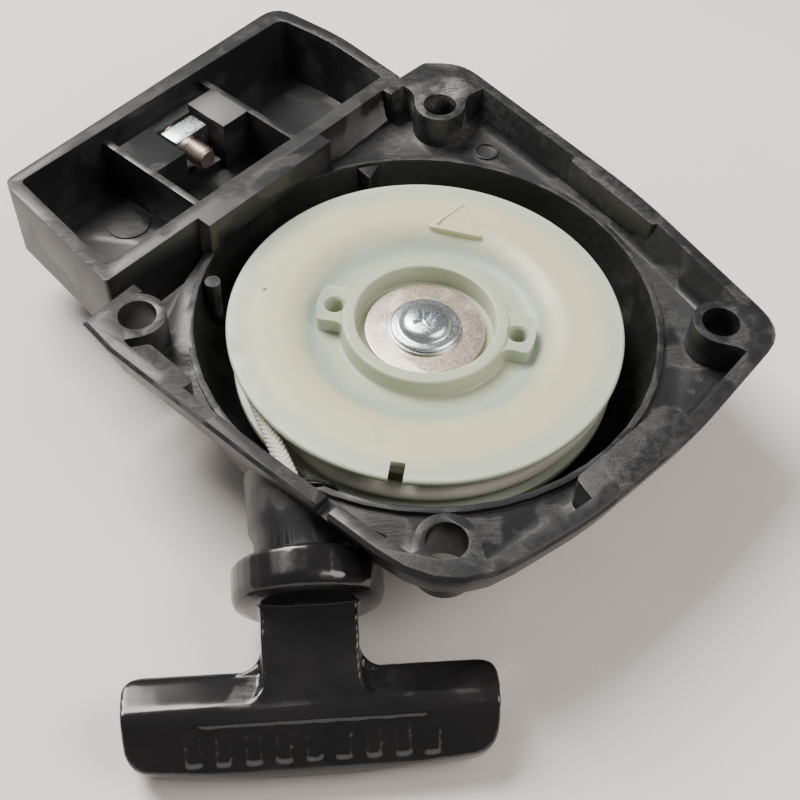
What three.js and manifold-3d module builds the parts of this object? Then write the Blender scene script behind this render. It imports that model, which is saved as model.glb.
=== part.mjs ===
// Recoil starter for a small two-stroke engine: a moulded case with a side air duct, a rope reel
// on a steel post, its spiral return spring, the starter rope and a T handle.
// Millimetres. The reel axis is Z, the front (outer) face of the case lies in z = 0,
// the engine side faces +Z and the rope is pulled towards -Y.
import * as THREE from 'three';
import { mergeVertices } from 'three/addons/utils/BufferGeometryUtils.js';
import Module from 'manifold-3d';

const wasm = await Module();
wasm.setup();

// ---------------------------------------------------------------- driving dimensions
const RIM_Z = 32.5;            // mating plane of the case rim
const SHELF_Z = 24.5;          // shelf between the rim wall and the reel pocket
const WALL = 3.2;              // rim wall thickness at its top
const FLOOR_Z = 2.5;           // inner face of the case front
const POCKET_R = 48.5;         // radius of the reel pocket at the shelf
const REEL_Z = 24.0;           // upper face of the reel's upper flange
const REEL_R = 42.0;           // radius of the upper flange
const BOLT_R = 3.9;            // clearance holes for the four case screws
const BOLTS = [[12.3, 59.1], [57.9, -15.5], [-6.2, -59.7], [-58.9, -0.2]];
const DUCT_TURN = 41;          // the duct's long side is turned this far from +X, degrees
const DUCT_FLOOR_Z = 16.0;
const ROPE_R = 1.8;
const ROUND = 48;              // facets round the large circles
const ROPE_ROW_R = [32.1, 35.75, 39.4];
const ROPE_LOW_Z = 16.9;
const ROPE_HIGH_Z = 20.3;
const PULL = new THREE.Vector3(-30.5, -36, 19.5);  // origin of the pull line
const PULL_PITCH = 12;         // the spout and handle slope down by this much, degrees
const GUIDE_S = 3.4;           // distance along the pull line at which the rope meets the guide
const SPOUT_R = 9.5;
const SPOUT_END = 19.0;        // distance along the pull line
const COLLAR_R = 14.2;
const BAR_S = 35.8;            // near edge of the grip bar along the pull line
const BAR_LENGTH = 67;
const SEAT_S = 18;             // the handle rests on the spout here,
const HANDLE_TURN = -3.5;      // turned a little about its seat, degrees
const GAP = 0.3;               // running gap between separate pieces

// outline of the case rim: corner x, corner y, corner radius
const RIM = [
  [2.5, 69.5, 2], [9.5, 76.3, 6], [20.8, 74.9, 12], [51.8, 24.2, 150],
  [70.7, -19.1, 10], [45.4, -41.6, 80], [21.8, -57.8, 80], [-8, -72.4, 22],
  [-39, -38.2, 200], [-74.6, 3.2, 9], [-69.8, 12.8, 3],
];
// outline of the duct, outside and inside, in the duct's own turned frame
const DUCT_OUTER = [[-42.8, 50, 1], [-38, 89.4, 3], [50, 92.4, 6], [51.8, 72, 60], [49.6, 50, 1]];
const DUCT_INNER = [[-39.4, 53.6, 1], [-35.3, 86.8, 1.5], [46.7, 87.6, 3], [48.4, 72, 60], [46.6, 53.6, 1]];

const deg = (a) => THREE.MathUtils.degToRad(a);

// ---------------------------------------------------------------- geometry helpers
// A closed geometry becomes a manifold solid, with its faces turned outwards.
function solid(geometry) {
  const bare = geometry.clone();
  for (const key of Object.keys(bare.attributes)) {
    if (key !== 'position') bare.deleteAttribute(key);
  }
  const merged = mergeVertices(bare, 1e-4);
  const position = merged.attributes.position;
  const triangles = [];
  let volume = 0;
  const a = new THREE.Vector3();
  const b = new THREE.Vector3();
  const c = new THREE.Vector3();
  for (let i = 0; i < merged.index.count; i += 3) {
    const [p, q, r] = [0, 1, 2].map((k) => merged.index.getX(i + k));
    if (p === q || q === r || r === p) continue;
    triangles.push([p, q, r]);
    a.fromBufferAttribute(position, p);
    b.fromBufferAttribute(position, q);
    c.fromBufferAttribute(position, r);
    volume += a.dot(b.cross(c));
  }
  const outward = volume > 0 ? triangles : triangles.map(([p, q, r]) => [p, r, q]);
  return new wasm.Manifold(new wasm.Mesh({
    numProp: 3,
    vertProperties: Float32Array.from(position.array),
    triVerts: Uint32Array.from(outward.flat()),
  }));
}

function union(first, ...others) {
  return others.reduce((sum, other) => sum.add(other), first);
}

// A path round a polygon whose corners are arcs.
function rounded(corners, PathClass = THREE.Shape) {
  const path = new PathClass();
  const n = corners.length;
  corners.forEach(([x, y, radius], i) => {
    const here = new THREE.Vector2(x, y);
    const before = new THREE.Vector2(...corners[(i + n - 1) % n].slice(0, 2)).sub(here);
    const after = new THREE.Vector2(...corners[(i + 1) % n].slice(0, 2)).sub(here);
    const half = Math.acos(before.dot(after) / (before.length() * after.length())) / 2;
    const limit = 0.48 * Math.min(before.length(), after.length());
    const cut = Math.min(radius / Math.tan(half), limit);
    const start = before.clone().setLength(cut).add(here);
    const end = after.clone().setLength(cut).add(here);
    if (i === 0) path.moveTo(start.x, start.y);
    else path.lineTo(start.x, start.y);
    path.quadraticCurveTo(here.x, here.y, end.x, end.y);
  });
  path.closePath();
  return path;
}

function extrude(shape, low, high, curveSegments = 5) {
  const depth = high - low;
  const geometry = new THREE.ExtrudeGeometry(shape, { depth, bevelEnabled: false, curveSegments });
  return geometry.translate(0, 0, low);
}

// A solid of revolution about Z from [radius, z] pairs.
function turned(profile, segments = 48) {
  const points = profile.map(([r, z]) => new THREE.Vector2(r, z));
  return new THREE.LatheGeometry(points, segments).rotateX(Math.PI / 2);
}

function ring(inner, outer, low, high, segments = 48) {
  return turned([[inner, low], [outer, low], [outer, high], [inner, high], [inner, low]], segments);
}

function rod(radius, low, high, segments = 24) {
  return turned([[0, low], [radius, low], [radius, high], [0, high]], segments);
}

function block(x0, x1, y0, y1, z0, z1) {
  return new THREE.BoxGeometry(x1 - x0, y1 - y0, z1 - z0)
    .translate((x0 + x1) / 2, (y0 + y1) / 2, (z0 + z1) / 2);
}

// Geometry made along +Z is laid on the pull line: its z becomes the distance from the line's origin.
function onPullLine(geometry) {
  return geometry.rotateX(Math.PI / 2).rotateX(deg(PULL_PITCH)).translate(...PULL.toArray());
}

// Geometry made in the handle's frame: x across, y = minus the distance along the pull line, z up.
function inHandleFrame(geometry) {
  return geometry.translate(0, SEAT_S, 0).rotateZ(deg(HANDLE_TURN)).translate(0, -SEAT_S, 0)
    .rotateX(deg(PULL_PITCH)).translate(...PULL.toArray());
}

// Geometry made along +Z is laid on the handle's own centre line.
function onHandleLine(geometry) {
  return inHandleFrame(geometry.rotateX(Math.PI / 2));
}

function inDuct(geometry) {
  return geometry.rotateZ(deg(DUCT_TURN));
}

function alongPull(distance) {
  const a = deg(PULL_PITCH);
  return new THREE.Vector3(0, -Math.cos(a), -Math.sin(a)).multiplyScalar(distance).add(PULL);
}

function alongHandle(distance) {
  const fromSeat = new THREE.Vector3(0, SEAT_S - distance, 0)
    .applyAxisAngle(new THREE.Vector3(0, 0, 1), deg(HANDLE_TURN));
  return fromSeat.add(new THREE.Vector3(0, -SEAT_S, 0))
    .applyAxisAngle(new THREE.Vector3(1, 0, 0), deg(PULL_PITCH)).add(PULL);
}

// A round cord along a list of points.
function cord(points, radius, steps, sides = 8) {
  const section = new THREE.Shape();
  section.absarc(0, 0, radius, 0, Math.PI * 2);
  const outline = new THREE.Shape(section.getPoints(sides).slice(0, sides));
  const path = new THREE.CatmullRomCurve3(points);
  return new THREE.ExtrudeGeometry(outline, { steps, bevelEnabled: false, extrudePath: path });
}

// ---------------------------------------------------------------- materials and nodes
const looks = {
  blackNylon: { color: 0x2b2b2c, roughness: 0.5, metalness: 0 },
  glossBlack: { color: 0x161617, roughness: 0.16, metalness: 0 },
  reelNylon: { color: 0xd2d3b8, roughness: 0.38, metalness: 0 },
  ropeFibre: { color: 0xe4e0d2, roughness: 0.85, metalness: 0 },
  springSteel: { color: 0x6c727a, roughness: 0.35, metalness: 1 },
  blueZinc: { color: 0xbfc9d0, roughness: 0.28, metalness: 1 },
  yellowZinc: { color: 0xc9bfa2, roughness: 0.34, metalness: 1 },
  plainSteel: { color: 0xa6a8aa, roughness: 0.32, metalness: 1 },
};

const starter = new THREE.Group();

function addNode(name, look, geometry) {
  const bare = geometry.index ? geometry.toNonIndexed() : geometry;
  bare.computeVertexNormals();
  const node = new THREE.Mesh(bare, new THREE.MeshStandardMaterial(looks[look]));
  node.name = name;
  starter.add(node);
}

function addSolid(name, look, manifold) {
  const { vertProperties, triVerts, numProp } = manifold.getMesh();
  const position = new Float32Array((vertProperties.length / numProp) * 3);
  for (let i = 0; i < position.length / 3; i++) {
    position.set(vertProperties.subarray(i * numProp, i * numProp + 3), i * 3);
  }
  const geometry = new THREE.BufferGeometry();
  geometry.setAttribute('position', new THREE.BufferAttribute(position, 3));
  geometry.setIndex(new THREE.BufferAttribute(Uint32Array.from(triVerts), 1));
  addNode(name, look, geometry);
}

// ---------------------------------------------------------------- case body
const rimPoints = rounded(RIM).getPoints(5);

const rimTurn = Math.sign(THREE.ShapeUtils.area(rimPoints));

// Distance from the reel axis to the convex rim outline, moved inwards by an inset, in one direction.
function outlineReach(angle, inset) {
  const direction = new THREE.Vector2(Math.cos(angle), Math.sin(angle));
  let reach = Infinity;
  rimPoints.forEach((p, i) => {
    const edge = rimPoints[(i + 1) % rimPoints.length].clone().sub(p);
    if (edge.length() < 1e-6) return;
    const normal = new THREE.Vector2(edge.y, -edge.x).multiplyScalar(rimTurn).normalize();
    const facing = normal.dot(direction);
    if (facing > 1e-6) reach = Math.min(reach, (normal.dot(p) - inset) / facing);
  });
  return reach;
}

// Directions of the loft's rays: one through each outline point, and more where those are far apart.
const pointAngles = rimPoints.map((p) => Math.atan2(p.y, p.x)).sort((a, b) => a - b)
  .filter((angle, i, all) => i === 0 || angle - all[i - 1] > deg(0.4));
const rays = pointAngles.flatMap((angle, i) => {
  const next = i + 1 < pointAngles.length ? pointAngles[i + 1] : pointAngles[0] + Math.PI * 2;
  const parts = Math.ceil((next - angle) / deg(7.5));
  return Array.from({ length: parts }, (_, k) => angle + (next - angle) * (k / parts));
});

// A lathe whose rings are pulled out from a circle to the rim outline.
// Each level is [z, inset, least radius]; an inset of null leaves the ring a circle of that radius.
function outlineLoft(levels) {
  const profile = [[0, levels[0][0]], ...levels.map(([z]) => [1, z]), [0, levels.at(-1)[0]]];
  const geometry = turned(profile, rays.length);
  const position = geometry.attributes.position;
  for (let i = 0; i < position.count; i++) {
    const level = levels[(i % profile.length) - 1];
    if (!level) continue;
    const [z, inset, least = 0] = level;
    const angle = rays[Math.floor(i / profile.length) % rays.length];
    const radius = inset === null ? least : Math.max(outlineReach(angle, inset), least);
    position.setXYZ(i, radius * Math.cos(angle), radius * Math.sin(angle), z);
  }
  return geometry;
}

const shell = solid(outlineLoft([
  [0, null, 36.5], [1.2, null, 38.4], [4.5, null, 41.6], [9.5, null, 46.4], [14, null, 49.6],
  [18.5, null, 51.2], [22, 5.2, 51.2], [25, 1.8, 51.2], [31.8, 0], [RIM_Z, 0.7],
]));
const ductShell = solid(inDuct(extrude(rounded(DUCT_OUTER), DUCT_FLOOR_Z - 2.5, RIM_Z)));
const spoutShell = solid(onPullLine(turned([
  [0, -2], [SPOUT_R + 0.8, -2], [SPOUT_R + 0.8, 9], [SPOUT_R, 11], [SPOUT_R, SPOUT_END - 0.8],
  [SPOUT_R - 0.8, SPOUT_END], [0, SPOUT_END],
], 36)));

const rimCavity = solid(outlineLoft([
  [SHELF_Z, 6.2], [SHELF_Z + 1.2, 5.0], [RIM_Z, WALL], [RIM_Z + 1, WALL],
]));
const besidePartition = solid(inDuct(block(-39.5, 43, 40, 50, SHELF_Z, RIM_Z + 1)));
const pocket = solid(turned([
  [0, FLOOR_Z], [34.5, FLOOR_Z], [38.6, 5.6], [43.6, 10], [46.6, 14], [48, 18.5],
  [POCKET_R, SHELF_Z], [POCKET_R, SHELF_Z + 1.5], [0, SHELF_Z + 1.5],
], ROUND));
const ductCavity = solid(inDuct(extrude(rounded(DUCT_INNER), DUCT_FLOOR_Z, RIM_Z + 1)));

let body = union(shell, ductShell, spoutShell).subtract(rimCavity).subtract(besidePartition);

// Ledges that widen the rim on three sides, the pocket's raised edge and the shelf details.
function ledge(x0, y0, x1, y1, depth) {
  const along = new THREE.Vector2(x1 - x0, y1 - y0);
  const taper = along.multiplyScalar(0.06);
  const inward = new THREE.Vector2(-(x0 + x1), -(y0 + y1)).setLength(depth);
  const shape = rounded([
    [x0 - inward.x, y0 - inward.y, 0.5], [x0 + inward.x + taper.x, y0 + inward.y + taper.y, 1.5],
    [x1 + inward.x - taper.x, y1 + inward.y - taper.y, 1.5], [x1 - inward.x, y1 - inward.y, 0.5],
  ]);
  return solid(extrude(shape, SHELF_Z - 0.5, RIM_Z, 3));
}
const ledges = union(
  ledge(40.4, 39.2, 55.2, 13.4, 3),
  ledge(43.6, -36.4, 20, -53.2, 3.4),
  ledge(-60, -8.2, -50.4, -20.2, 3),
).intersect(shell);
const pocketEdge = solid(ring(POCKET_R - 1, POCKET_R + 1.3, SHELF_Z - 1, SHELF_Z + 1.1, ROUND))
  .intersect(solid(outlineLoft([[SHELF_Z - 2, 2], [SHELF_Z + 2, 2]])));

// Screw bosses. Each has a wall round its inner side and fills the corner of the rim behind it.
const BOSS_R = 5.8;
const COUNTERBORE_TOP = [8, 8, 26.4, 26.4];    // height of each counterbore from the front side
const bosses = BOLTS.map(([x, y], i) => {
  const low = i < 2 ? 15 : SHELF_Z - 2;
  const corner = rounded([
    [-1, -BOSS_R, 0.1], [4, -BOSS_R - 0.6, 5], [9.5, -BOSS_R - 7, 4], [30, -BOSS_R - 12, 1],
    [30, BOSS_R + 12, 1], [9.5, BOSS_R + 7, 4], [4, BOSS_R + 0.6, 5], [-1, BOSS_R, 0.1],
  ]);
  const fill = solid(extrude(corner, SHELF_Z - 2, RIM_Z, 4).rotateZ(Math.atan2(y, x)).translate(x, y, 0));
  return { body: solid(rod(BOSS_R, low, RIM_Z, 28).translate(x, y, 0)).add(fill.intersect(shell)),
    hole: solid(rod(BOLT_R, low - 12, RIM_Z + 2, 24).translate(x, y, 0)),
    bore: solid(rod(5.2, low - 14, COUNTERBORE_TOP[i], 24).translate(x, y, 0)) };
});
const dateRing = solid(ring(2.4, 3, SHELF_Z - 0.5, SHELF_Z + 0.4, 24).translate(22.5, 50.5, 0));

// Partition between duct and reel pocket, with the thicker lug block on it.
const LUG = [-17.2, 20.8, 46.4, 53.8];
const partition = solid(inDuct(block(-41, 48, 50, 53.6, DUCT_FLOOR_Z - 1, RIM_Z)));
const lug = solid(inDuct(block(...LUG, SHELF_Z - 4, RIM_Z)));

// Nut bracket inside the duct: two ribs, their widened pads, and a cradle for the square nut.
const NUT = { u: 4, v0: 75.2, v1: 80.6, width: 10, low: 18.6 };
const SCREW_Z = NUT.low + NUT.width / 2;
const BRACKET_TOP = 29.4;
const bracket = solid(inDuct(block(-12.7, -11.1, 53, 88, DUCT_FLOOR_Z - 1, BRACKET_TOP))).add(
  solid(inDuct(block(17.9, 19.5, 53, 88, DUCT_FLOOR_Z - 1, BRACKET_TOP))),
).add(
  solid(inDuct(block(-12, -2.2, 70.4, 83, DUCT_FLOOR_Z - 1, BRACKET_TOP))),
).add(
  solid(inDuct(block(10.2, 18.5, 70.8, 83, DUCT_FLOOR_Z - 1, BRACKET_TOP))),
).add(
  solid(inDuct(block(-3, 11, 73, 83, DUCT_FLOOR_Z - 1, NUT.low - GAP))),
).add(
  solid(inDuct(block(-12, 18.5, 82.6, 88, DUCT_FLOOR_Z - 1, BRACKET_TOP - 2))),
);
const nutSlot = solid(inDuct(block(NUT.u - 5.3, NUT.u + 5.3, 73.2, 82.6, NUT.low - GAP, BRACKET_TOP + 1)));
function alongDuctScrew(geometry) {
  return inDuct(geometry.rotateX(-Math.PI / 2).translate(NUT.u, 0, SCREW_Z));
}
const screwHole = solid(alongDuctScrew(turned([
  [0, 69], [3.4, 69], [3.4, 88.4], [6.3, 91.4], [6.3, 95], [0, 95],
], 24)));
const ejectorDisc = solid(rod(5, DUCT_FLOOR_Z - 0.5, DUCT_FLOOR_Z + 0.35, 28).translate(-62.7, 44, 0));

// Small upstands at the pocket wall.
const post = solid(rod(1.7, 9, SHELF_Z + 0.6, 16).translate(-43.9, 14.6, 0));
const tab = solid(extrude(rounded([[-9.6, 49, 0.3], [-6.2, 43.6, 0.6], [-3, 49.2, 0.3]]), 14, SHELF_Z + 0.4));
const rimNotch = solid(
  block(-1.4, 1.4, -2.4, 2.4, RIM_Z - 2.2, RIM_Z + 1).rotateZ(deg(-49)).translate(-26, -49.6, 0),
);

// Centre boss for the post, spring anchor peg and the air slots of the front.
const hubBoss = solid(turned([[0, 1], [8.5, 1], [8.5, 4.6], [7.9, 5.2], [0, 5.2]], 36));
const anchorPeg = solid(rod(1.8, 1, 10.4, 16).translate(-29.6, 0, 0));
const slotShape = new THREE.Shape();
slotShape.absarc(0, 0, 36, deg(-9), deg(9), false);
slotShape.absarc(0, 0, 31.4, deg(9), deg(-9), true);
slotShape.closePath();
const slots = Array.from({ length: 14 }, (_, i) => (
  solid(extrude(slotShape, -2, 5, 3).rotateZ(deg((i + 0.5) * 360 / 14)))
));
const frontRing = solid(ring(26.5, 28.5, -1, 0.5, 40));
const postHole = solid(rod(4.6, 1.2, 12, 24));

const spoutBore = solid(onPullLine(turned([
  [0, -8], [8.3, -8], [8.3, GUIDE_S + 0.3], [6.4, GUIDE_S + 0.3], [6.4, SPOUT_END + 2], [0, SPOUT_END + 2],
], 28)));
const seatWall = solid(onHandleLine(rod(COLLAR_R + 2.7, 14.2, 34, 32))).intersect(shell);
const handleSeat = solid(onHandleLine(turned([
  [0, 15.9], [COLLAR_R + 0.9, 15.9], [COLLAR_R + 0.9, 34], [0, 34],
], 40)));
const spoutKeep = solid(onPullLine(rod(SPOUT_R, 9, SPOUT_END, 28)));

body = union(body, ledges, pocketEdge, dateRing, ...bosses.map((b) => b.body), seatWall, lug);
body = body.subtract(ductCavity);
body = union(body, partition, bracket, ejectorDisc);
body = body.subtract(nutSlot).subtract(screwHole).subtract(pocket);
body = union(body, post, tab, hubBoss, anchorPeg);
body = body.subtract(handleSeat).add(spoutKeep);
body = body.subtract(spoutBore).subtract(postHole).subtract(rimNotch).subtract(frontRing);
for (const boss of bosses) body = body.subtract(boss.hole).subtract(boss.bore);
for (const slot of slots) body = body.subtract(slot);
addSolid('starter_case', 'blackNylon', body);

// ---------------------------------------------------------------- centre post and return spring
addNode('centre_post', 'plainSteel', turned([
  [0, 1.5], [4.3, 1.5], [4.3, 6], [5.1, 6], [5.1, 19.7], [2.7, 19.7], [2.7, 9], [0, 9],
], 24));

const SPRING = { inner: 9.2, outer: 27.2, turns: 6.5, thickness: 0.5, low: 3.1, high: 10.6 };
const springSteps = Math.round(SPRING.turns * 18);
const springLine = (side) => Array.from({ length: springSteps + 1 }, (_, i) => {
  const t = i / springSteps;
  const radius = SPRING.inner + (SPRING.outer - SPRING.inner) * t ** 0.8 + side * SPRING.thickness / 2;
  const angle = t * SPRING.turns * Math.PI * 2;
  return new THREE.Vector2(radius * Math.cos(angle), radius * Math.sin(angle));
});
const springShape = new THREE.Shape([...springLine(1), ...springLine(-1).reverse()]);
addNode('recoil_spring', 'springSteel', extrude(springShape, SPRING.low, SPRING.high));

addNode('thrust_washer', 'plainSteel', ring(5.3, 8.4, 5.5, 6.3, 28));

// ---------------------------------------------------------------- reel
const HUB_TURN = -18.9;        // direction of the drive ears, degrees
const reelBody = solid(turned([
  [5.2, 6.6], [7.8, 6.6], [7.8, 12.2], [26.5, 12.2], [26.5, 11.2], [REEL_R - 0.8, 11.2],
  [REEL_R - 0.8, 13], [30, 14.6], [30, 22.3], [REEL_R, 22.7], [REEL_R, 23.6],
  [REEL_R - 0.4, REEL_Z], [29.4, REEL_Z], [27, 22.9], [24.2, 20.8], [22.8, 20.2], [18.2, 20.2],
  [17.8, 24.2], [15, 24.2], [14.6, 19.4], [5.2, 19.4], [5.2, 6.6],
], ROUND));
const ear = (turn) => {
  const shape = rounded([
    [15.6, -7.6, 1], [17.6, -4.7, 2.4], [22.4, -5.2, 1.3], [23.7, 0, 9],
    [22.4, 5.2, 1.3], [17.6, 4.7, 2.4], [15.6, 7.6, 1],
  ]);
  return solid(extrude(shape, 19.8, REEL_Z, 4).rotateZ(deg(turn)));
};
const earHole = (turn) => solid(rod(2, 18, 26, 20).translate(19.6, 0, 0).rotateZ(deg(turn)));
const rimNick = solid(block(-1.5, 1.5, 37.6, 44, 21, 26).rotateZ(deg(-107.1 - 90)));
const markRing = solid(turned([
  [5.8, 22.3], [7.2, 22.3], [7.2, 24.3], [5.8, 24.3], [5.8, 22.3],
], 3).rotateZ(deg(-23)).translate(12, 28.2, 0));
// The rope's inner end: a bore through the groove wall into a knot pocket open to the spring side.
const outerRow = ROPE_ROW_R.at(-1);
const entry = alongPull(GUIDE_S);
const leaveAngle = Math.atan2(entry.y, entry.x) - Math.acos(outerRow / Math.hypot(entry.x, entry.y));
const KNOT_R = 24.4;
const atRopeEnd = (geometry) => geometry.rotateY(Math.PI / 2).translate(0, 0, ROPE_LOW_Z).rotateZ(leaveAngle);
const ropeBore = solid(atRopeEnd(rod(2.2, KNOT_R, 31, 16)));
const knotPocket = solid(rod(3.4, 10, 20, 20).translate(KNOT_R, 0, 0).rotateZ(leaveAngle));
const springHook = solid(block(6.5, 8.6, -1.2, 1.2, 7, 12.4));
let reel = union(reelBody, ear(HUB_TURN), ear(HUB_TURN + 180), markRing, springHook);
reel = reel.subtract(earHole(HUB_TURN)).subtract(earHole(HUB_TURN + 180)).subtract(rimNick);
reel = reel.subtract(ropeBore).subtract(knotPocket);
addSolid('reel', 'reelNylon', reel);

addNode('retaining_washer', 'yellowZinc', ring(3.2, 12.9, 19.8, 20.7, 40));
addNode('screw_washer', 'blueZinc', ring(3.2, 7.9, 20.8, 21.3, 28));

const SCREW_TOP = 24.1;
const screwBlank = solid(turned([
  [0, 10], [2.3, 10], [2.6, 10.6], [2.6, 21.4], [7.4, 21.4], [7.5, 21.9], [6.9, 22.3], [5.2, 22.6],
  [4.9, 23.3], [3.6, SCREW_TOP - 0.2], [1.6, SCREW_TOP], [0, SCREW_TOP],
], 28));
const crossSlot = (turn) => solid(extrude(rounded([
  [-3.5, -0.6, 0.2], [3.5, -0.6, 0.2], [3.5, 0.6, 0.2], [-3.5, 0.6, 0.2],
]), 21.9, 26, 2).rotateZ(deg(turn)));
addSolid('reel_screw', 'blueZinc', screwBlank.subtract(crossSlot(20)).subtract(crossSlot(110)));

// ---------------------------------------------------------------- rope
const TURNS = ROPE_ROW_R.length;
const STEPS_PER_TURN = 24;
const CROSSING = 0.12;         // share of a turn in which the rope climbs to the next row

// Rope centre after t turns: it runs up one row, back down the next, and leaves from the top.
function woundPoint(t) {
  const row = Math.min(Math.floor(t), TURNS - 1);
  const part = t - row;
  const climb = THREE.MathUtils.smoothstep(part, 0, CROSSING);
  const inner = ROPE_ROW_R[Math.max(row - 1, 0)];
  const radius = inner + (ROPE_ROW_R[row] - inner) * climb;
  const travel = THREE.MathUtils.smoothstep(part, CROSSING, 1);
  const [from, to] = row % 2 === 0 ? [ROPE_LOW_Z, ROPE_HIGH_Z] : [ROPE_HIGH_Z, ROPE_LOW_Z];
  const angle = leaveAngle - (TURNS - t) * Math.PI * 2;
  return new THREE.Vector3(radius * Math.cos(angle), radius * Math.sin(angle), from + (to - from) * travel);
}
const leaving = woundPoint(TURNS);
const toGuide = entry.clone().sub(leaving).normalize();
const wound = Array.from({ length: TURNS * STEPS_PER_TURN + 1 }, (_, i) => woundPoint(i / STEPS_PER_TURN));
addNode('rope_wound', 'ropeFibre', cord(wound, ROPE_R, TURNS * STEPS_PER_TURN));

addSolid('rope_reel_knot', 'ropeFibre', solid(atRopeEnd(turned([
  [0, KNOT_R - 2.8], [1.8, KNOT_R - 2.2], [2.6, KNOT_R - 0.8], [2.6, KNOT_R + 0.8], [1.7, KNOT_R + 2.4],
  [1.6, 30], [0, 30],
], 16))));

const SPOUT_JOINT = 13;        // the rope pieces meet here, inside the spout
addNode('rope_run', 'ropeFibre', cord([
  leaving.clone().addScaledVector(toGuide, GAP),
  leaving.clone().addScaledVector(toGuide, 10),
  leaving.clone().addScaledVector(toGuide, 20),
  entry,
  alongPull((GUIDE_S + SPOUT_JOINT) / 2),
  alongPull(SPOUT_JOINT - GAP / 2),
], ROPE_R, 16));
const KNOT_S = 42.2;
addNode('rope_outer', 'ropeFibre', cord([
  alongPull(SPOUT_JOINT + GAP / 2), alongPull(SEAT_S - 1), alongHandle(SEAT_S + 6), alongHandle(KNOT_S - 2.9),
], ROPE_R, 12));
addNode('rope_handle_knot', 'ropeFibre', onHandleLine(turned([
  [0, KNOT_S - 2.5], [2.2, KNOT_S - 2.3], [3.4, KNOT_S - 0.9], [3.4, KNOT_S + 0.9], [2.2, KNOT_S + 2.2],
  [0, KNOT_S + 2.5],
], 20)));
addNode('rope_guide', 'glossBlack', onPullLine(turned([
  [2.6, -0.4], [3.3, -1.6], [4.6, -2.3], [6.6, -2.3], [7.9, -1.2], [7.9, -0.4], [6.1, 0], [6.1, 8.2],
  [2.6, 8.2], [2.6, -0.4],
].map(([r, s]) => [r, s + GUIDE_S]), 24)));

// ---------------------------------------------------------------- handle
const barSection = new THREE.Shape();   // x = distance along the pull line, y = height
barSection.moveTo(0, -2.5);
barSection.lineTo(0, 0.8);
barSection.quadraticCurveTo(0.2, 2.6, 2.2, 3.2);
barSection.lineTo(5.8, 4.6);
barSection.quadraticCurveTo(8.2, 5.6, 9.9, 4.4);
barSection.lineTo(16.6, -0.9);
barSection.quadraticCurveTo(18.9, -2.8, 17.6, -4.7);
barSection.quadraticCurveTo(16, -6.2, 12.5, -6.1);
barSection.lineTo(4, -5.7);
barSection.quadraticCurveTo(0, -5.2, 0, -2.5);
const barAxes = new THREE.Matrix4().makeBasis(
  new THREE.Vector3(0, -1, 0), new THREE.Vector3(0, 0, 1), new THREE.Vector3(-1, 0, 0),
);
const barBlank = extrude(barSection, 0, BAR_LENGTH, 7).applyMatrix4(barAxes)
  .translate(BAR_LENGTH / 2, -BAR_S, 0);
const half = BAR_LENGTH / 2;
const barPlan = extrude(rounded([
  [-half, -BAR_S - 0.2, 4], [half, -BAR_S - 0.2, 4], [half - 1, -BAR_S - 16.2, 5],
  [0, -BAR_S - 18.8, 200], [1 - half, -BAR_S - 16.2, 5],
]), -9, 9);
// The stem flares into the bar: low down at the bar's near edge, and higher up at its ridge.
const stemFlare = (reach, fillet, top) => extrude(rounded([
  [-8.9, -22, 0.5], [-8.6, -reach, fillet], [-20, -reach - 0.6, 1], [-20, -reach - 3, 1],
  [20, -reach - 3, 1], [20, -reach - 0.6, 1], [8.6, -reach, fillet], [8.9, -22, 0.5],
]), -5, top);
const stems = [stemFlare(BAR_S + 0.6, 7, 2.8), stemFlare(BAR_S + 7, 8, 4.9)];
const COLLAR_S = 16.5;
const collar = turned([
  [0, SPOUT_END + 1.2], [11.6, SPOUT_END + 1.2], [11.6, COLLAR_S + 0.5], [12.1, COLLAR_S],
  [COLLAR_R - 0.7, COLLAR_S], [COLLAR_R, COLLAR_S + 0.7], [COLLAR_R, COLLAR_S + 6],
  [COLLAR_R - 0.6, COLLAR_S + 7.4], [COLLAR_R - 2.6, COLLAR_S + 8.3],
  [7, COLLAR_S + 8.8], [0, COLLAR_S + 8.8],
], 40);
const RIB_COUNT = 9;
const RIB_PITCH = 5.2;
const FACE_SLOPE = 38.3;
let handle = solid(inHandleFrame(barBlank)).intersect(solid(inHandleFrame(barPlan)));
handle = union(handle, ...stems.map((stem) => solid(inHandleFrame(stem))), solid(onHandleLine(collar)));
for (let i = 0; i < RIB_COUNT; i++) {
  const x = (i - (RIB_COUNT - 1) / 2) * RIB_PITCH;
  const rib = block(-1, 1, -2.9, 2.9, -0.6, 0.4).rotateX(deg(FACE_SLOPE)).translate(x, -BAR_S - 13.3, 1.7);
  handle = handle.add(solid(inHandleFrame(rib)));
}
const CAP = { x: 4.4, near: KNOT_S - 2.5, far: KNOT_S + 2.5, low: -6, high: -4.6 };
handle = handle.subtract(solid(onHandleLine(rod(2.3, SPOUT_END - 1, CAP.near + 0.5, 20))));
handle = handle.subtract(solid(inHandleFrame(block(
  -CAP.x - GAP, CAP.x + GAP, -CAP.far - GAP, -CAP.near + GAP, -9, 3.8,
))));
addSolid('handle', 'glossBlack', handle);
addNode('handle_cap', 'glossBlack', inHandleFrame(
  block(-CAP.x, CAP.x, -CAP.far, -CAP.near, CAP.low, CAP.high),
));

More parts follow.
